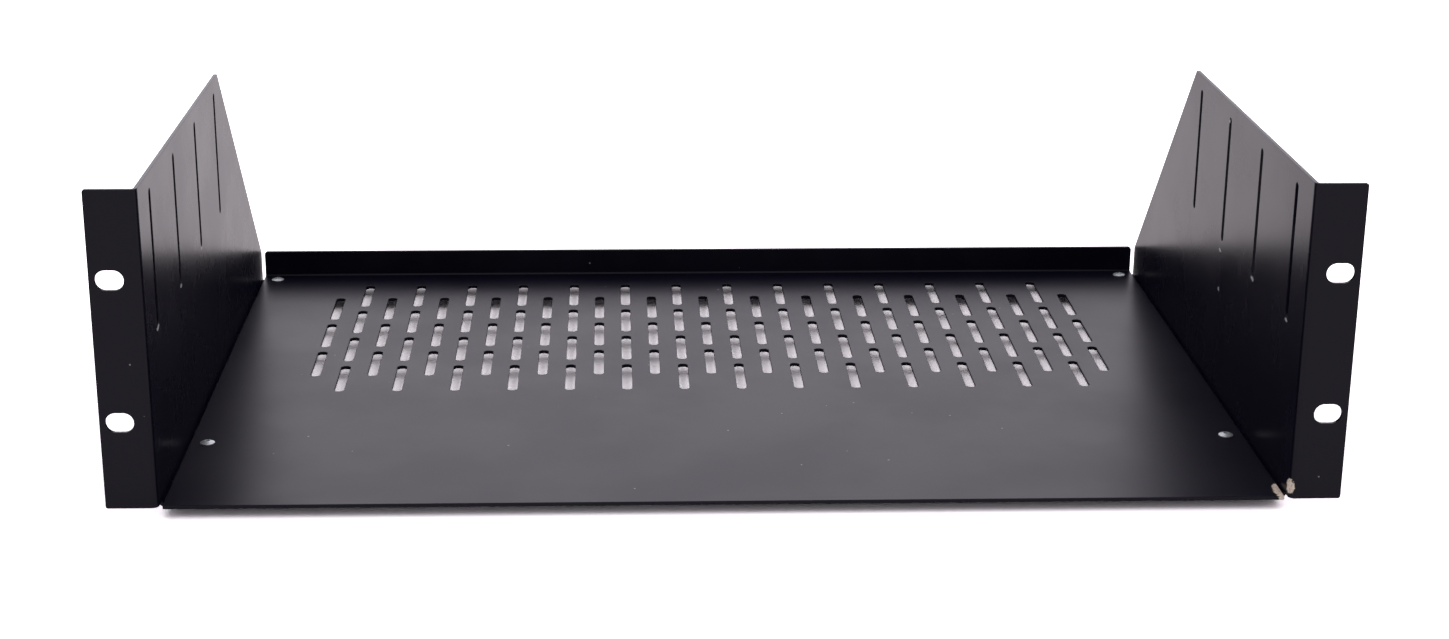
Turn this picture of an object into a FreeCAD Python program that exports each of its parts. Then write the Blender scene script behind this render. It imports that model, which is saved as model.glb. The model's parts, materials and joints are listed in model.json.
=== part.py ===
import FreeCAD, Part
import math
import os
import types
import Sketcher

# A 3U cantilever rack shelf: a vented tray carried by two folded side brackets.
# +X is to the right, +Y goes back into the rack, +Z is up. The origin is the centre
# of the four rack slots, on the back faces of the ears, which bear on the rack rails.

# Driving dimensions in millimetres. Each becomes one aliased cell of the sheet.
SIZES = {
    # ears
    "panel_width": 482.6,          # over both ears
    "panel_height": 128.0,
    "ear_width": 20.3,             # from the ear's outer edge to the side plate's inner face
    "ear_corner_radius": 1.0,
    "rack_slot_inset": 7.8,        # from the ear's outer edge to the slot's centre
    "rack_slot_rise": 57.15,       # between slot centres, low to high
    "rack_slot_length": 11.0,
    "rack_slot_width": 8.0,
    # sheet metal
    "sheet_gauge": 1.5,
    "bend_radius": 1.0,            # inside radius of every fold
    # side plates and their feet
    "shelf_depth": 305.0,          # from the ears' back faces to the lip's rear face
    "plate_rear_setback": 4.0,     # of the plate's rear edge, from the lip's rear face
    "plate_rear_height": 13.2,     # of the plate's rear edge above the deck
    "crest_reach": 196.0,          # where the level top edge ends and the slope begins
    "plate_corner_radius": 1.0,
    "foot_width": 20.0,            # of the flange turned in under the tray
    "foot_setback": 7.0,           # relief between the ear and the foot
    "foot_corner_radius": 3.0,
    # slits in the side plates
    "slit_count": 4,
    "slit_length": 55.0,
    "slit_width": 4.0,
    "slit_front_margin": 23.0,     # from the ears' back faces to the first slit
    "slit_crest_margin": 12.8,     # from the last slit to the end of the level edge
    "slit_top_margin": 6.1,        # below the level edge
    # tray
    "tray_side_gap": 0.1,          # between the tray and the fold beside it
    "tray_setback": 1.0,           # of the front edge behind the ears' back faces
    "lip_height": 12.7,            # above the deck
    "lip_corner_radius": 1.5,
    # vents in the deck
    "vent_columns": 15,            # in a wide row; a narrow row has one fewer
    "vent_wide_rows": 3,
    "vent_narrow_rows": 4,
    "vent_pitch": 25.4,            # across
    "vent_row_pitch": 20.2,        # from a row to the next
    "vent_web": 6.9,               # metal left between two vents of one column
    "vent_width": 4.4,
    "vent_corner": 1.3,            # cut off each corner of a vent at 45 degrees
    "vent_rear_margin": 19.6,      # from the lip's rear face to the rear row
    # blind rivets
    "rivet_inset": 8.1,            # from the side plate's inner face
    "rivet_front_margin": 67.6,    # from the deck's front edge
    "rivet_rear_margin": 4.5,      # from the foot's rear end
    "rivet_shank_diameter": 3.2,
    "rivet_hole_clearance": 0.05,  # all round the shank
    "rivet_head_diameter": 6.1,
    "rivet_head_height": 1.1,
    "rivet_head_rim": 0.35,        # upright edge of the domed head
    "rivet_tail_diameter": 5.2,
    "rivet_tail_height": 1.9,
    "rivet_tail_shoulder": 1.0,    # upright edge of the tail
    "rivet_tail_wall": 0.4,        # round the mandrel's head, where the tail ends
    "mandrel_diameter": 1.8,
    "mandrel_recess": 0.35,        # of the broken stem below the top of the rivet
    "mandrel_head_diameter": 2.8,
    "mandrel_head_height": 1.7,
    "mandrel_head_stub": 0.7,      # of its head below the rivet's tail
    "mandrel_chamfer": 0.3,
    "mandrel_clearance": 0.05,     # all round the stem and its head
}


class Length:
    """A dimension as an expression over the sheet, with its present value beside it."""

    def __init__(self, text, value):
        self.text = text
        self.value = value

    def __add__(self, other):
        other = as_length(other)
        return Length(f"({self.text} + {other.text})", self.value + other.value)

    def __sub__(self, other):
        other = as_length(other)
        return Length(f"({self.text} - {other.text})", self.value - other.value)

    def __mul__(self, other):
        other = as_length(other)
        return Length(f"({self.text} * {other.text})", self.value * other.value)

    def __truediv__(self, other):
        other = as_length(other)
        return Length(f"({self.text} / {other.text})", self.value / other.value)

    def __neg__(self):
        return self * -1


def as_length(value):
    return value if isinstance(value, Length) else Length(str(value), value)


size = types.SimpleNamespace(
    **{name: Length(f"Sizes.{name}", value) for name, value in SIZES.items()})

# Planes and levels of the shelf.
ORIGIN = as_length(0)
EAR_EDGE = size.panel_width / 2
INNER_FACE = EAR_EDGE - size.ear_width
OUTER_FACE = INNER_FACE + size.sheet_gauge
PANEL_TOP = size.panel_height / 2
DECK = -PANEL_TOP
DECK_UNDERSIDE = DECK - size.sheet_gauge
FOOT_UNDERSIDE = DECK_UNDERSIDE - size.sheet_gauge
FOOT_EDGE = OUTER_FACE - size.foot_width
PLATE_REAR = size.shelf_depth - size.plate_rear_setback
PLATE_REAR_TOP = DECK + size.plate_rear_height
TRAY_EDGE = INNER_FACE - size.bend_radius - size.tray_side_gap
LIP_FACE = size.shelf_depth - size.sheet_gauge
LIP_TOP = DECK + size.lip_height
OUTER_BEND = size.bend_radius + size.sheet_gauge
VENT_LENGTH = size.vent_row_pitch * 2 - size.vent_web
RIVET_X = INNER_FACE - size.rivet_inset
RIVET_ROWS = {
    "front": size.tray_setback + size.rivet_front_margin,
    "rear": PLATE_REAR - size.rivet_rear_margin,
}
RIVET_HOLE = size.rivet_shank_diameter + size.rivet_hole_clearance * 2
SIDES = {"left": -1, "right": 1}

NEAR = 0.01  # how close an edge lies to the place where it is looked for
FULL_TURN = 360
UP = FreeCAD.Vector(0, 0, 1)

doc = FreeCAD.newDocument("rack_shelf")


def fill_sheet():
    sheet = doc.addObject("Spreadsheet::Sheet", "Sizes")
    for row, (name, value) in enumerate(SIZES.items(), start=1):
        sheet.set(f"A{row}", name)
        sheet.set(f"B{row}", str(value))
        sheet.setAlias(f"B{row}", name)
    doc.recompute()


def new_body(name):
    body = doc.addObject("PartDesign::Body", name)
    body.Label = name
    return body


def origin_item(body, role):
    return next(item for item in body.Origin.OriginFeatures if item.Role == role)


def new_sketch(body, name, role, lift=ORIGIN):
    """Sketch on one of the body's own origin planes, lifted along the plane's normal."""
    sketch = body.newObject("Sketcher::SketchObject", name)
    sketch.AttachmentSupport = [(origin_item(body, role), "")]
    sketch.MapMode = "FlatFace"
    sketch.setExpression("AttachmentOffset.Base.z", lift.text)
    return sketch


def vector(x, y):
    return FreeCAD.Vector(x.value, y.value, 0)


def bind(sketch, length, kind, *places):
    """Dimension of the sketch, driven by the sheet."""
    index = sketch.addConstraint(Sketcher.Constraint(kind, *places, length.value))
    sketch.setExpression(f"Constraints[{index}]", length.text)


def pin(sketch, geometry, point, x, y):
    """Hold a point of the sketch at its distances from the sketch's origin."""
    bind(sketch, x, "DistanceX", -1, 1, geometry, point)
    bind(sketch, y, "DistanceY", -1, 1, geometry, point)


def dome_arc(start, end):
    """Arc between two points with its centre on the sketch's upright axis."""
    centre_y = (start.Length ** 2 - end.Length ** 2) / (2 * (start.y - end.y))
    centre = FreeCAD.Vector(0, centre_y, 0)
    ring = Part.Circle(centre, UP, (start - centre).Length)
    turns = [math.atan2(point.y - centre_y, point.x) for point in (end, start)]
    return Part.ArcOfCircle(ring, *turns)


def outline(sketch, corners, domed=False):
    """Closed outline through corners; the first side of a domed one is an arc."""
    points = [vector(*corner) for corner in corners]
    sides = []
    for number, (start, end) in enumerate(zip(points, points[1:] + points[:1])):
        if domed and number == 0:
            arc = sketch.addGeometry(dome_arc(start, end), False)
            sketch.addConstraint(Sketcher.Constraint("PointOnObject", arc, 3, -2))
            sides.append((arc, 2, 1))
        else:
            sides.append((sketch.addGeometry(Part.LineSegment(start, end), False), 1, 2))
    for corner, here, there in zip(corners, sides, sides[1:] + sides[:1]):
        side, start, end = here
        sketch.addConstraint(Sketcher.Constraint("Coincident", side, end, *there[:2]))
        pin(sketch, side, start, *corner)


def circle(sketch, x, y, diameter):
    ring = sketch.addGeometry(Part.Circle(vector(x, y), UP, diameter.value / 2), False)
    pin(sketch, ring, 3, x, y)
    bind(sketch, diameter, "Diameter", ring)


def obround(sketch, x, y, length, width, upright):
    """Round-ended slot centred on x and y."""
    reach = (length - width) / 2
    arcs = []
    for way in (1, -1):
        centre = (x, y + reach * way) if upright else (x + reach * way, y)
        ring = Part.Circle(vector(*centre), UP, width.value / 2)
        turn = (way - 1) * math.pi / 2 - (0 if upright else math.pi / 2)
        arcs.append(sketch.addGeometry(Part.ArcOfCircle(ring, turn, turn + math.pi), False))
        pin(sketch, arcs[-1], 3, *centre)
    for here, there in (arcs, arcs[::-1]):
        start = sketch.Geometry[here].EndPoint
        end = sketch.Geometry[there].StartPoint
        side = sketch.addGeometry(Part.LineSegment(start, end), False)
        sketch.addConstraint(Sketcher.Constraint("Tangent", here, 2, side, 1))
        sketch.addConstraint(Sketcher.Constraint("Tangent", side, 2, there, 1))
    bind(sketch, width, "Diameter", arcs[0])


def clipped_slot(sketch, x, y, length, width, corner):
    """Upright slot centred on x and y, with its corners cut off at 45 degrees."""
    corners = []
    for right, back in ((1, -1), (1, 1), (-1, 1), (-1, -1)):
        side = (x + width / 2 * right, y + (length / 2 - corner) * back)
        end = (x + (width / 2 - corner) * right, y + length / 2 * back)
        corners += [end, side] if right * back < 0 else [side, end]
    outline(sketch, corners)


def add_pad(body, sketch, name, length, both_ways=False):
    pad = body.newObject("PartDesign::Pad", name)
    pad.Profile = sketch
    pad.setExpression("Length", length.text)
    pad.SideType = "Symmetric" if both_ways else "One side"
    doc.recompute()
    return pad


def check_metal_went(body, feature, before):
    if not feature.Shape.Volume < before:
        raise RuntimeError(f"{feature.Name} cut nothing from {body.Label}")


def add_cut(body, sketch, name):
    """Cut right through the body, both ways from the sketch."""
    before = body.Shape.Volume
    pocket = body.newObject("PartDesign::Pocket", name)
    pocket.Profile = sketch
    pocket.Type = "ThroughAll"
    pocket.SideType = "Symmetric"
    doc.recompute()
    check_metal_went(body, pocket, before)
    return pocket


def add_pattern(body, cut, name, runs):
    """Repeat a cut along one or two axes, each given as (role, length, count)."""
    before = body.Shape.Volume
    pattern = body.newObject("PartDesign::LinearPattern", name)
    pattern.Originals = [cut]
    for suffix, (role, length, count) in zip(("", "2"), runs):
        setattr(pattern, f"Direction{suffix}", (origin_item(body, role), [""]))
        pattern.setExpression(f"Length{suffix}", length.text)
        pattern.setExpression(f"Occurrences{suffix}", count.text)
    body.Tip = pattern
    doc.recompute()
    check_metal_went(body, pattern, before)


def edges_at(shape, spots):
    """Names of the straight edges that lie wholly at the given x, y or z."""
    names = []
    for number, edge in enumerate(shape.Edges, start=1):
        ends = [vertex.Point for vertex in edge.Vertexes]
        misses = [abs(getattr(end, axis) - spot) for end in ends for axis, spot in spots.items()]
        if max(misses) < NEAR:
            names.append(f"Edge{number}")
    return names


def add_fillet(body, name, radius, **place):
    """Round the body's edges at a place."""
    base = body.Tip
    names = edges_at(base.Shape, {axis: length.value for axis, length in place.items()})
    if not names:
        raise RuntimeError(f"{name} found no edge on {body.Label}")
    fillet = body.newObject("PartDesign::Fillet", name)
    fillet.Base = (base, names)
    fillet.setExpression("Radius", radius.text)
    doc.recompute()


def build_bracket():
    """Left bracket: ear, side plate and foot, folded from one sheet."""
    body = new_body("left_bracket")

    plate = new_sketch(body, "PlateOutline", "YZ_Plane", -OUTER_FACE)
    outline(plate, [
        (-size.sheet_gauge, DECK),
        (size.foot_setback, DECK),
        (size.foot_setback, FOOT_UNDERSIDE),
        (PLATE_REAR, FOOT_UNDERSIDE),
        (PLATE_REAR, PLATE_REAR_TOP),
        (size.crest_reach, PANEL_TOP),
        (-size.sheet_gauge, PANEL_TOP),
    ])
    add_pad(body, plate, "Plate", size.sheet_gauge)

    ear = new_sketch(body, "EarOutline", "XZ_Plane")
    outline(ear, [
        (-EAR_EDGE, DECK),
        (-INNER_FACE, DECK),
        (-INNER_FACE, PANEL_TOP),
        (-EAR_EDGE, PANEL_TOP),
    ])
    add_pad(body, ear, "Ear", size.sheet_gauge)

    foot = new_sketch(body, "FootOutline", "XY_Plane", FOOT_UNDERSIDE)
    outline(foot, [
        (-OUTER_FACE, size.foot_setback),
        (-FOOT_EDGE, size.foot_setback),
        (-FOOT_EDGE, PLATE_REAR),
        (-OUTER_FACE, PLATE_REAR),
    ])
    add_pad(body, foot, "Foot", size.sheet_gauge)

    add_fillet(body, "EarFoldInside", size.bend_radius, x=-OUTER_FACE, y=ORIGIN)
    add_fillet(body, "EarFoldOutside", OUTER_BEND, x=-INNER_FACE, y=-size.sheet_gauge)
    add_fillet(body, "FootFoldInside", size.bend_radius, x=-INNER_FACE, z=DECK_UNDERSIDE)
    add_fillet(body, "FootFoldOutside", OUTER_BEND, x=-OUTER_FACE, z=FOOT_UNDERSIDE)
    add_fillet(body, "CrestCorner", size.plate_corner_radius, y=size.crest_reach, z=PANEL_TOP)
    add_fillet(body, "RearCorner", size.plate_corner_radius, y=PLATE_REAR, z=PLATE_REAR_TOP)
    add_fillet(body, "UpperEarCorner", size.ear_corner_radius, x=-EAR_EDGE, z=PANEL_TOP)
    add_fillet(body, "LowerEarCorner", size.ear_corner_radius, x=-EAR_EDGE, z=DECK)
    add_fillet(body, "FrontFootCorner", size.foot_corner_radius, x=-FOOT_EDGE, y=size.foot_setback)
    add_fillet(body, "RearFootCorner", size.foot_corner_radius, x=-FOOT_EDGE, y=PLATE_REAR)

    slots = new_sketch(body, "RackSlots", "XZ_Plane")
    for way in (-1, 1):
        obround(slots, size.rack_slot_inset - EAR_EDGE, size.rack_slot_rise / 2 * way,
                size.rack_slot_length, size.rack_slot_width, upright=False)
    add_cut(body, slots, "RackSlotCut")

    holes = new_sketch(body, "BracketRivetHoles", "XY_Plane")
    for row in RIVET_ROWS.values():
        circle(holes, -RIVET_X, row, RIVET_HOLE)
    add_cut(body, holes, "BracketRivetHoleCut")

    slit = new_sketch(body, "FirstSlit", "YZ_Plane")
    obround(slit, size.slit_front_margin, PANEL_TOP - size.slit_top_margin - size.slit_length / 2,
            size.slit_length, size.slit_width, upright=True)
    first_slit = add_cut(body, slit, "FirstSlitCut")
    run = size.crest_reach - size.slit_crest_margin - size.slit_front_margin
    add_pattern(body, first_slit, "Slits", [("Y_Axis", run, size.slit_count)])
    return body


def mirror_bracket(left):
    right = doc.addObject("Part::Mirroring", "right_bracket")
    right.Label = "right_bracket"
    right.Source = left
    right.Normal = (1, 0, 0)
    return right


def cut_vents(body, name, columns, rows, rows_behind):
    """Vents of every other row of the deck, repeated from the front left one."""
    width = (columns - 1) * size.vent_pitch
    depth = (rows - 1) * size.vent_row_pitch * 2
    rear = size.shelf_depth - size.vent_rear_margin - VENT_LENGTH / 2
    front = rear - size.vent_row_pitch * rows_behind - depth
    vent = new_sketch(body, f"First{name}Vent", "XY_Plane")
    clipped_slot(vent, -width / 2, front, VENT_LENGTH, size.vent_width, size.vent_corner)
    first = add_cut(body, vent, f"First{name}VentCut")
    add_pattern(body, first, f"{name}Vents", [("X_Axis", width, columns), ("Y_Axis", depth, rows)])


def build_tray():
    """Deck with a lip folded up along its rear edge."""
    body = new_body("shelf_tray")
    section = new_sketch(body, "TraySection", "YZ_Plane")
    outline(section, [
        (size.tray_setback, DECK_UNDERSIDE),
        (size.shelf_depth, DECK_UNDERSIDE),
        (size.shelf_depth, LIP_TOP),
        (LIP_FACE, LIP_TOP),
        (LIP_FACE, DECK),
        (size.tray_setback, DECK),
    ])
    add_pad(body, section, "Tray", TRAY_EDGE * 2, both_ways=True)
    add_fillet(body, "LipFoldInside", size.bend_radius, y=LIP_FACE, z=DECK)
    add_fillet(body, "LipFoldOutside", OUTER_BEND, y=size.shelf_depth, z=DECK_UNDERSIDE)
    for side, way in SIDES.items():
        add_fillet(body, f"{side}LipCorner", size.lip_corner_radius, x=TRAY_EDGE * way, z=LIP_TOP)

    holes = new_sketch(body, "TrayRivetHoles", "XY_Plane")
    for way in SIDES.values():
        for row in RIVET_ROWS.values():
            circle(holes, RIVET_X * way, row, RIVET_HOLE)
    add_cut(body, holes, "TrayRivetHoleCut")

    cut_vents(body, "Narrow", size.vent_columns - 1, size.vent_narrow_rows, rows_behind=0)
    cut_vents(body, "Wide", size.vent_columns, size.vent_wide_rows, rows_behind=1)
    return body


def revolve(name, corners, domed=False):
    """Turned piece whose half section is drawn to the right of its upright axis."""
    body = new_body(name)
    section = new_sketch(body, f"{name}_section", "XZ_Plane")
    outline(section, corners, domed)
    turn = body.newObject("PartDesign::Revolution", f"{name}_turn")
    turn.Profile = section
    turn.ReferenceAxis = (section, ["V_Axis"])
    turn.Angle = FULL_TURN
    return body


def rivet_section():
    """Set blind rivet, hollow for its mandrel, with its head on the deck at zero."""
    bore = size.mandrel_diameter / 2 + size.mandrel_clearance
    socket = size.mandrel_head_diameter / 2 + size.mandrel_clearance
    head = size.rivet_head_diameter / 2
    shank = size.rivet_shank_diameter / 2
    tail = size.rivet_tail_diameter / 2
    grip = size.sheet_gauge * -2
    tail_end = grip - size.rivet_tail_height
    socket_roof = tail_end + size.mandrel_head_height - size.mandrel_head_stub
    return [
        (bore, size.rivet_head_height),
        (head, size.rivet_head_rim),
        (head, ORIGIN),
        (shank, ORIGIN),
        (shank, grip),
        (tail, grip),
        (tail, grip - size.rivet_tail_shoulder),
        (socket + size.rivet_tail_wall, tail_end),
        (socket, tail_end),
        (socket, socket_roof),
        (bore, socket_roof),
    ]


def mandrel_section():
    """Mandrel left in the rivet: its broken stem, and the head that swelled the tail."""
    stem = size.mandrel_diameter / 2
    head = size.mandrel_head_diameter / 2
    stem_top = size.rivet_head_height - size.mandrel_recess
    foot = size.sheet_gauge * -2 - size.rivet_tail_height - size.mandrel_head_stub
    head_top = foot + size.mandrel_head_height
    return [
        (ORIGIN, stem_top),
        (stem, stem_top),
        (stem, head_top),
        (head, head_top),
        (head, foot + size.mandrel_chamfer),
        (head - size.mandrel_chamfer, foot),
        (ORIGIN, foot),
    ]


def build_fasteners(name, section, domed=False):
    """One like piece at each corner of the tray, kept together as a group of solids."""
    bodies = []
    for row, y in RIVET_ROWS.items():
        for side, way in SIDES.items():
            body = revolve(f"{row}_{side}_{name}", section, domed)
            body.setExpression("Placement.Base.x", (RIVET_X * way).text)
            body.setExpression("Placement.Base.y", y.text)
            body.setExpression("Placement.Base.z", DECK.text)
            bodies.append(body)
    group = doc.addObject("Part::Compound", f"{name}s")
    group.Label = f"{name}s"
    group.Links = bodies
    return group


def check(nodes):
    for item in doc.Objects:
        if {"Invalid", "Error"} & set(item.State):
            raise RuntimeError(f"{item.Label} failed to rebuild")
    for node, solid_count in nodes.items():
        if node.Shape.isNull() or not node.Shape.isValid():
            raise RuntimeError(f"{node.Label} has no valid shape")
        if len(node.Shape.Solids) != solid_count:
            raise RuntimeError(f"{node.Label} has {len(node.Shape.Solids)} solids")


fill_sheet()
left_bracket = build_bracket()
rivet_count = len(SIDES) * len(RIVET_ROWS)
nodes = {
    build_tray(): 1,
    left_bracket: 1,
    mirror_bracket(left_bracket): 1,
    build_fasteners("rivet", rivet_section(), domed=True): rivet_count,
    build_fasteners("rivet_mandrel", mandrel_section()): rivet_count,
}
doc.recompute()
check(nodes)

os.makedirs("parts", exist_ok=True)
for node in nodes:
    node.Shape.exportStep(f"parts/{node.Label}.step")
    print(f"{node.Label}: {node.Shape.Volume:.1f} mm3")
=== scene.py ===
import json
import math

import bpy
from mathutils import Matrix, Vector


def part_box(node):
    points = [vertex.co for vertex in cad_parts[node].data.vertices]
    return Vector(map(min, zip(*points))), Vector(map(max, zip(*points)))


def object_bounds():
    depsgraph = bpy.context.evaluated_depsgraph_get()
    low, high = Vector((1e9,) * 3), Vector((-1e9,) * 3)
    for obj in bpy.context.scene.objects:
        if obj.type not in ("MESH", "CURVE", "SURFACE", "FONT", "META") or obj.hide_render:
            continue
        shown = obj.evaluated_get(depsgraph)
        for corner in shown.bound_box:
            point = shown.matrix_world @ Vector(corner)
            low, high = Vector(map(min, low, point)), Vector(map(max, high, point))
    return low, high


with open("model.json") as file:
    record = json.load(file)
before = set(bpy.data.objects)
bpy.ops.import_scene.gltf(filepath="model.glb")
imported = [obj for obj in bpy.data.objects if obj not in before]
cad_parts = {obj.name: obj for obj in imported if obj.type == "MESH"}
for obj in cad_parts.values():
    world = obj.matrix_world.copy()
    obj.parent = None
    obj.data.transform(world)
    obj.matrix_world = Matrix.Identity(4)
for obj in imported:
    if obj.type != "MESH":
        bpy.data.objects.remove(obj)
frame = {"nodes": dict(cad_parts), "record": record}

scene = bpy.context.scene
cadBox = [list(corner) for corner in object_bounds()]
rackSlots = next(mount for mount in frame["record"]["mounts"] if mount["name"] == "rack_slots")
slotCentre = Vector(rackSlots["pos_m"])
floorHeight = cadBox[0][2]
millimetre = 0.001
print("frame loaded:", len(frame["nodes"]), "nodes")

# camera
cameraView = {
    "fromSlots": (-0.0435, -0.8860, 0.3031),   # from the centre of the rack slots
    "turn": 0.02948,                           # to the right, in radians
    "dip": 0.3206,                             # below level
    "roll": 0.002802,
    "sensorWidth": 36.0,                       # in millimetres
    "focalLength": 60.8,
    "shift": (0.0285, 0.0043),
}


def addCamera(settings):
    turn, dip, roll = settings["turn"], settings["dip"], settings["roll"]
    ahead = Vector((math.sin(turn) * math.cos(dip), math.cos(turn) * math.cos(dip), -math.sin(dip)))
    level = Vector((math.cos(turn), -math.sin(turn), 0))
    upright = level.cross(ahead)
    right = level * math.cos(roll) + upright * math.sin(roll)
    up = upright * math.cos(roll) - level * math.sin(roll)
    lens = bpy.data.cameras.new("camera")
    lens.sensor_width = settings["sensorWidth"]
    lens.lens = settings["focalLength"]
    lens.shift_x, lens.shift_y = settings["shift"]
    camera = bpy.data.objects.new("camera", lens)
    pose = Matrix((right, up, -ahead)).transposed().to_4x4()
    camera.matrix_world = Matrix.Translation(slotCentre + Vector(settings["fromSlots"])) @ pose
    scene.collection.objects.link(camera)
    scene.camera = camera


addCamera(cameraView)
print("camera placed")


# node helpers
def setSocket(tree, socket, value):
    if isinstance(value, bpy.types.NodeSocket):
        tree.links.new(value, socket)
    else:
        socket.default_value = value


def addNode(tree, kind, inputs=None, **options):
    node = tree.nodes.new(kind)
    for name, value in options.items():
        setattr(node, name, value)
    for name, value in (inputs or {}).items():
        setSocket(tree, node.inputs[name], value)
    return node


def addMath(tree, operation, first, second=0.0):
    return addNode(tree, "ShaderNodeMath", {0: first, 1: second}, operation=operation).outputs[0]


def addVectorMath(tree, operation, first, second=(0.0, 0.0, 0.0)):
    return addNode(tree, "ShaderNodeVectorMath", {0: first, 1: second}, operation=operation).outputs


def addRamp(tree, value, low, high, toLow=0.0, toHigh=1.0):
    return addNode(tree, "ShaderNodeMapRange", {
        "Value": value, "From Min": low, "From Max": high, "To Min": toLow, "To Max": toHigh,
    }, interpolation_type="SMOOTHSTEP").outputs["Result"]


# the sockets of a mix node, by number: 0 is the share, 2 and 3 are values, 6 and 7 are colours
def blendValues(tree, share, first, second):
    return addNode(tree, "ShaderNodeMix", {0: share, 2: first, 3: second}).outputs[0]


def blendColours(tree, share, first, second):
    return addNode(tree, "ShaderNodeMix", {0: share, 6: first, 7: second},
                   data_type="RGBA").outputs[2]


def where(tree):
    return addNode(tree, "ShaderNodeTexCoord").outputs["Object"]


def perMetre(tree, size):
    return addMath(tree, "DIVIDE", 1.0, size)


def addNoise(tree, scale, detail, roughness):
    return addNode(tree, "ShaderNodeTexNoise", {
        "Vector": where(tree), "Scale": scale, "Detail": detail, "Roughness": roughness,
    }).outputs[0]


def newGroup(name, inputs, outputs):
    group = bpy.data.node_groups.new(name, "ShaderNodeTree")
    for socketName, (kind, value) in inputs.items():
        socket = group.interface.new_socket(socketName, in_out="INPUT", socket_type=kind)
        socket.default_value = value
    for socketName, kind in outputs.items():
        group.interface.new_socket(socketName, in_out="OUTPUT", socket_type=kind)
    entry = group.nodes.new("NodeGroupInput")
    leave = group.nodes.new("NodeGroupOutput")
    return group, entry.outputs, leave.inputs


def placeGroup(tree, group, inputs):
    return addNode(tree, "ShaderNodeGroup", inputs, node_tree=group).outputs


# fine orange peel of a baked coat, with slow changes of gloss
def makeCoatTexture():
    group, given, result = newGroup("coatTexture", {
        "grainSize": ("NodeSocketFloat", 0.0006),
        "cloudSize": ("NodeSocketFloat", 0.05),
    }, {"height": "NodeSocketFloat", "cloud": "NodeSocketFloat"})
    grain = addNoise(group, perMetre(group, given["grainSize"]), detail=3.0, roughness=0.6)
    cloud = addNoise(group, perMetre(group, given["cloudSize"]), detail=4.0, roughness=0.55)
    group.links.new(grain, result["height"])
    group.links.new(cloud, result["cloud"])
    return group


# small pale specks, as many on one face as on another
def makeDust():
    smallest, largest = 0.03, 0.12   # radius of a speck, as a share of the spacing
    group, given, result = newGroup("dust", {
        "spacing": ("NodeSocketFloat", 0.004),
        "amount": ("NodeSocketFloat", 0.1),
    }, {"mask": "NodeSocketFloat"})
    cells = addNode(group, "ShaderNodeTexVoronoi", {
        "Vector": where(group), "Scale": perMetre(group, given["spacing"])})
    pick = addNode(group, "ShaderNodeSeparateColor", {"Color": cells.outputs["Color"]}).outputs
    chosen = addMath(group, "LESS_THAN", pick[0], given["amount"])
    radius = addRamp(group, pick[1], 0.0, 1.0, smallest, largest)
    near = addMath(group, "LESS_THAN", cells.outputs["Distance"], radius)
    group.links.new(addMath(group, "MULTIPLY", chosen, near), result["mask"])
    return group


# spot where the coat is knocked off, also the shape of pale specks and painted glints, with a torn
# outline
def makeBareAndGlintSpot():
    outside, inside = 1.05, 0.9      # where the spot ends and where it is whole, in reaches
    tearScale, tearSwing, noiseMiddle = 600.0, 4.0, 0.5
    group, given, result = newGroup("bareAndGlintSpot", {
        "centre": ("NodeSocketVector", (0.0, 0.0, 0.0)),
        "reach": ("NodeSocketVector", (0.01, 0.01, 0.01)),
        "ragged": ("NodeSocketFloat", 0.5),
    }, {"mask": "NodeSocketFloat"})
    offset = addVectorMath(group, "SUBTRACT", where(group), given["centre"])["Vector"]
    scaled = addVectorMath(group, "DIVIDE", offset, given["reach"])["Vector"]
    distance = addVectorMath(group, "LENGTH", scaled)["Value"]
    noise = addNoise(group, tearScale, detail=4.0, roughness=0.6)
    shift = addMath(group, "MULTIPLY", addMath(group, "SUBTRACT", noise, noiseMiddle),
                    addMath(group, "MULTIPLY", given["ragged"], tearSwing))
    torn = addMath(group, "ADD", distance, shift)
    group.links.new(addRamp(group, torn, outside, inside), result["mask"])
    return group


# light edges of the sheet, partly rubbed coat and partly a painted highlight, from how far a
# softened normal leans away
def makeEdgeRubAndHighlight():
    level, leaning = 0.99, 0.85      # cosine of the lean where the rub starts and where it is full
    fade = 0.1                       # how softly a rubbed stretch ends
    group, given, result = newGroup("edgeRubAndHighlight", {
        "width": ("NodeSocketFloat", 0.0004),
        "patchSize": ("NodeSocketFloat", 0.02),
        "share": ("NodeSocketFloat", 0.4),
    }, {"mask": "NodeSocketFloat", "normal": "NodeSocketVector"})
    softened = addNode(group, "ShaderNodeBevel", {"Radius": given["width"]}, samples=6).outputs[0]
    straight = addNode(group, "ShaderNodeNewGeometry").outputs["Normal"]
    lean = addVectorMath(group, "DOT_PRODUCT", softened, straight)["Value"]
    edge = addRamp(group, lean, level, leaning)
    patches = addNoise(group, perMetre(group, given["patchSize"]), detail=5.0, roughness=0.65)
    untouchedShare = addMath(group, "SUBTRACT", 1.0, given["share"])
    rubbedAndHighlit = addRamp(group, addMath(group, "SUBTRACT", patches, untouchedShare), 0.0, fade)
    group.links.new(addMath(group, "MULTIPLY", edge, rubbedAndHighlit), result["mask"])
    group.links.new(softened, result["normal"])
    return group


coatTexture = makeCoatTexture()
dust = makeDust()
bareAndGlintSpot = makeBareAndGlintSpot()
edgeRubAndHighlight = makeEdgeRubAndHighlight()
print("shader groups made")

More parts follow.
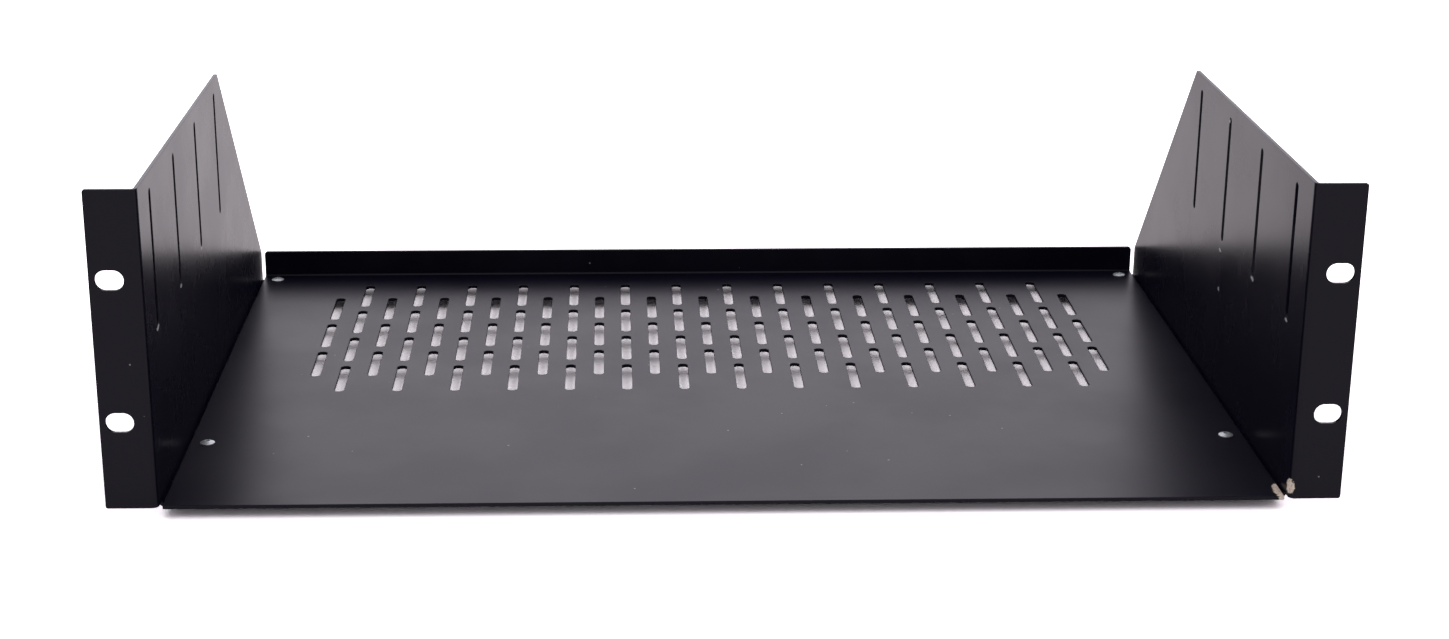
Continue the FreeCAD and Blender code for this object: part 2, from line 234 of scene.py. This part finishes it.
# black powder coat on the tray and the brackets, with sizes in metres
coat = {
    "colour": (0.0020, 0.0018, 0.0058, 1.0),
    "cloudColour": (0.0036, 0.0031, 0.0090, 1.0),
    "rubAndHighlightColour": (0.030, 0.029, 0.032, 1.0),
    "dustColour": (0.22, 0.21, 0.20, 1.0),
    "speckAndGlintColour": (0.40, 0.40, 0.42, 1.0),
    "bareColour": (0.85, 0.72, 0.64, 1.0),
    "rustColour": (0.55, 0.37, 0.28, 1.0),
    "refraction": 1.25,
    "grainSize": 0.0006,
    "cloudSize": 0.05,
    "tray": {"roughness": (0.32, 0.37), "grainHeight": 0.000005},
    "bracket": {"roughness": (0.25, 0.29), "grainHeight": 0.000002},
    "cloudRange": (0.3, 0.7),      # the cloud values between which the gloss changes
    "edgeWidth": 0.0004,
    "edgePatchSize": 0.02,
    "edgeShare": 0.4,
    "dustSpacing": 0.004,
    "dustAmount": 0.03,
    "speckAndGlintRagged": 0.5,
    "bareRagged": 0.3,
    "bareRoughness": 0.55,
    "rustScale": 900.0,            # per metre
    "rustRange": (0.5, 0.7),
}


def newMaterial(name):
    material = bpy.data.materials.new(name)
    material.use_nodes = True
    return material, material.node_tree


def fillShader(tree, values):
    shader = tree.nodes["Principled BSDF"]
    for name, value in values.items():
        setSocket(tree, shader.inputs[name], value)


def addSpots(tree, spots, ragged):
    mask = None
    for centre, reach in spots:
        spot = placeGroup(tree, bareAndGlintSpot, {
            "centre": centre, "reach": reach, "ragged": ragged})["mask"]
        mask = spot if mask is None else addMath(tree, "MAXIMUM", mask, spot)
    return mask


def makeCoat(name, kind, bareSpots=(), specksAndGlints=(), settings=coat):
    material, tree = newMaterial(name)
    texture = placeGroup(tree, coatTexture, {
        "grainSize": settings["grainSize"], "cloudSize": settings["cloudSize"]})
    rubAndHighlight = placeGroup(tree, edgeRubAndHighlight, {
        "width": settings["edgeWidth"], "patchSize": settings["edgePatchSize"],
        "share": settings["edgeShare"]})
    specks = placeGroup(tree, dust, {
        "spacing": settings["dustSpacing"], "amount": settings["dustAmount"]})["mask"]
    colour = blendColours(tree, texture["cloud"], settings["colour"], settings["cloudColour"])
    # lighter edges: partly rubbed coat, partly a painted highlight along the edges
    colour = blendColours(tree, rubAndHighlight["mask"], colour, settings["rubAndHighlightColour"])
    colour = blendColours(tree, specks, colour, settings["dustColour"])
    roughness = addRamp(tree, texture["cloud"], *settings["cloudRange"],
                        *settings[kind]["roughness"])
    # pale specks, and painted glints at the ends of the slits
    if specksAndGlints:
        speckAndGlintMask = addSpots(tree, specksAndGlints, settings["speckAndGlintRagged"])
        colour = blendColours(tree, speckAndGlintMask, colour, settings["speckAndGlintColour"])
    if bareSpots:
        bare = addSpots(tree, bareSpots, settings["bareRagged"])
        rust = addRamp(tree, addNoise(tree, settings["rustScale"], detail=3.0, roughness=0.5),
                       *settings["rustRange"])
        metal = blendColours(tree, rust, settings["bareColour"], settings["rustColour"])
        colour = blendColours(tree, bare, colour, metal)
        roughness = blendValues(tree, bare, roughness, settings["bareRoughness"])
    bump = addNode(tree, "ShaderNodeBump", {
        "Height": texture["height"], "Distance": settings[kind]["grainHeight"],
        "Normal": rubAndHighlight["normal"]})
    fillShader(tree, {"Base Color": colour, "Roughness": roughness,
                      "Normal": bump.outputs[0], "IOR": settings["refraction"]})
    return material


def dress(nodeName, material):
    slots = frame["nodes"][nodeName].data.materials
    slots.clear()
    slots.append(material)


# knocked corners, two pale specks, and painted glints at the ends of the slits: centre and reach in
# millimetres, from the tray's lower right front corner and from the top, front and outer corner of
# each bracket
wear = {
    "trayBare": [((0.0, 5.0, 1.5), (2.8, 9.0, 3.0))],
    "rightBare": [((-20.3, 0.5, -123.4), (2.0, 4.0, 3.4))],
    "rightSpecksAndPaintedGlints": [
        # two pale specks, then painted glints at two slit bottoms and one slit top
        ((-20.3, 133.3, -65.8), (0.6, 2.0, 0.7)),
        ((-20.3, 131.2, -83.0), (0.6, 1.4, 0.9)),
        ((-20.3, 78.3, -61.9), (0.6, 2.4, 0.9)),
        ((-20.3, 24.5, -62.1), (0.6, 2.0, 0.7)),
        ((-20.3, 132.6, -8.1), (0.6, 2.0, 0.8)),
    ],
    "leftPaintedGlints": [
        # painted glints at the bottom ends of the slits
        ((20.3, 78.0, -62.0), (0.6, 2.0, 0.8)),
        ((20.3, 131.4, -61.8), (0.6, 1.2, 0.6)),
        ((20.3, 24.3, -62.0), (0.6, 2.8, 0.9)),
    ],
}


def spotsFrom(corner, spots):
    return [(tuple(corner[i] + centre[i] * millimetre for i in range(3)),
             tuple(size * millimetre for size in reach)) for centre, reach in spots]


trayLow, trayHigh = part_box("shelf_tray")
trayCorner = (trayHigh[0], trayLow[1], trayLow[2])
leftLow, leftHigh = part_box("left_bracket")
leftCorner = (leftLow[0], leftLow[1], leftHigh[2])
rightLow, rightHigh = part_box("right_bracket")
rightCorner = (rightHigh[0], rightLow[1], rightHigh[2])
dress("shelf_tray", makeCoat(
    "trayCoat", "tray", bareSpots=spotsFrom(trayCorner, wear["trayBare"])))
dress("left_bracket", makeCoat(
    "leftBracketCoat", "bracket", specksAndGlints=spotsFrom(leftCorner, wear["leftPaintedGlints"])))
dress("right_bracket", makeCoat(
    "rightBracketCoat", "bracket", bareSpots=spotsFrom(rightCorner, wear["rightBare"]),
    specksAndGlints=spotsFrom(rightCorner, wear["rightSpecksAndPaintedGlints"])))
print("coat done")

# blind rivets and what is left of their mandrels, with sizes in metres
rivetMetal = {
    "rivet": {"colour": (0.50, 0.53, 0.55, 1.0), "dull": (0.38, 0.40, 0.42, 1.0),
              "roughness": (0.32, 0.50)},
    "mandrel": {"colour": (0.40, 0.42, 0.44, 1.0), "dull": (0.20, 0.21, 0.22, 1.0),
                "roughness": (0.37, 0.55)},
    "metallic": 0.6,
    "grainSize": 0.0004,
    "grainHeight": 0.00003,
    "grainRange": (0.2, 0.8),      # the grain values between which the gloss changes
    "cloudSize": 0.002,
    "cloudRange": (0.4, 0.65),     # the cloud values between which the metal turns dull
    "edgeWidth": 0.0002,
}


def makeMetal(name, kind, settings=rivetMetal):
    material, tree = newMaterial(name)
    texture = placeGroup(tree, coatTexture, {
        "grainSize": settings["grainSize"], "cloudSize": settings["cloudSize"]})
    rubAndHighlight = placeGroup(tree, edgeRubAndHighlight, {"width": settings["edgeWidth"]})
    colour = blendColours(tree, addRamp(tree, texture["cloud"], *settings["cloudRange"]),
                          settings[kind]["colour"], settings[kind]["dull"])
    roughness = addRamp(tree, texture["height"], *settings["grainRange"],
                        *settings[kind]["roughness"])
    bump = addNode(tree, "ShaderNodeBump", {
        "Height": texture["height"], "Distance": settings["grainHeight"],
        "Normal": rubAndHighlight["normal"]})
    fillShader(tree, {"Base Color": colour, "Roughness": roughness,
                      "Normal": bump.outputs[0], "Metallic": settings["metallic"]})
    return material


dress("rivets", makeMetal("rivetMetal", "rivet"))
dress("rivet_mandrels", makeMetal("mandrelMetal", "mandrel"))
print("rivets done")

# white table and studio: the floor's and the sky's colours depend on what looks at them.
# "light" is what lights the object, "eye" is for the camera, "gloss" is for a reflection and
# "deepGloss" is for a reflection in a reflection
studio = {
    "floorHalfSize": 30.0,
    "floor": {
        "light": (0.88, 0.88, 0.88, 1.0),
        "eye": (2.9, 2.72, 2.9, 1.0),
        "gloss": (1.46, 1.35, 1.43, 1.0),
        "deepGloss": (0.14, 0.13, 0.14, 1.0),
    },
    "sky": {
        "light": (0.40, 0.40, 0.40, 1.0),
        "eye": (1.0, 1.0, 1.0, 1.0),
        "gloss": (1.00, 0.95, 1.03, 1.0),
        "deepGloss": (0.10, 0.095, 0.10, 1.0),
        # a brighter part of the backdrop, which gives level faces their sheen
        "glow": (1.80, 1.71, 1.85, 1.0),
        "glowTowards": (-0.05, 0.83, 0.55),
        "glowSpread": (0.76, 0.97),
    },
    # place, length and width in metres, and the share of full white that each lamp gives
    "softboxes": {
        "leftSoftbox": {
            "place": (-4.0, 0.6, 5.2), "size": (12.0, 3.2), "share": 0.29, "shine": True},
        "rightSoftbox": {
            "place": (4.0, 0.6, 5.2), "size": (12.0, 3.2), "share": 0.29, "shine": True},
        "rearSoftbox": {
            "place": (0.0, 7.5, 3.6), "size": (10.0, 3.0), "share": 0.28, "shine": False},
    },
}


def colourByRay(tree, colours):
    firstReflection, nextReflection = 1.0, 2.0
    paths = addNode(tree, "ShaderNodeLightPath").outputs
    glossy = addMath(tree, "MAXIMUM", paths["Is Glossy Ray"], paths["Is Transmission Ray"])
    deep = addRamp(tree, paths["Glossy Depth"], firstReflection, nextReflection)
    gloss = blendColours(tree, deep, colours["gloss"], colours["deepGloss"])
    unseen = blendColours(tree, glossy, colours["light"], gloss)
    return blendColours(tree, paths["Is Camera Ray"], unseen, colours["eye"])


def addFloor(settings):
    half = settings["floorHalfSize"]
    corners = [(-half, -half, floorHeight), (half, -half, floorHeight),
               (half, half, floorHeight), (-half, half, floorHeight)]
    mesh = bpy.data.meshes.new("floor")
    mesh.from_pydata(corners, [], [(0, 1, 2, 3)])
    floor = bpy.data.objects.new("floor", mesh)
    scene.collection.objects.link(floor)
    material, tree = newMaterial("tableTop")
    matt = addNode(tree, "ShaderNodeBsdfDiffuse", {"Color": colourByRay(tree, settings["floor"])})
    tree.links.new(matt.outputs[0], tree.nodes["Material Output"].inputs["Surface"])
    mesh.materials.append(material)


def lightWorld(settings):
    world = bpy.data.worlds.new("studio")
    scene.world = world
    world.use_nodes = True
    tree = world.node_tree
    sky = settings["sky"]
    direction = addNode(tree, "ShaderNodeTexCoord").outputs["Generated"]
    towards = addVectorMath(tree, "DOT_PRODUCT", direction, sky["glowTowards"])["Value"]
    glow = addRamp(tree, towards, *sky["glowSpread"])
    gloss = blendColours(tree, glow, sky["gloss"], sky["glow"])
    colour = colourByRay(tree, dict(sky, gloss=gloss))
    tree.links.new(colour, tree.nodes["Background"].inputs["Color"])
    world.cycles.sampling_method = "NONE"


def addSoftbox(name, settings):
    light = bpy.data.lights.new(name, "AREA")
    light.shape = "RECTANGLE"
    light.size, light.size_y = settings["size"]
    place = Vector(settings["place"])
    # about this share of full white, on a white sheet at the origin that faces the lamp
    light.energy = settings["share"] * math.pi ** 2 * place.length_squared
    lamp = bpy.data.objects.new(name, light)
    lamp.location = place
    lamp.rotation_euler = (-place).to_track_quat("-Z", "Y").to_euler()
    lamp.visible_camera = False
    lamp.visible_glossy = settings["shine"]
    scene.collection.objects.link(lamp)


addFloor(studio)
lightWorld(studio)
for softboxName, softbox in studio["softboxes"].items():
    addSoftbox(softboxName, softbox)
scene.view_settings.view_transform = "Standard"
print("studio lit")
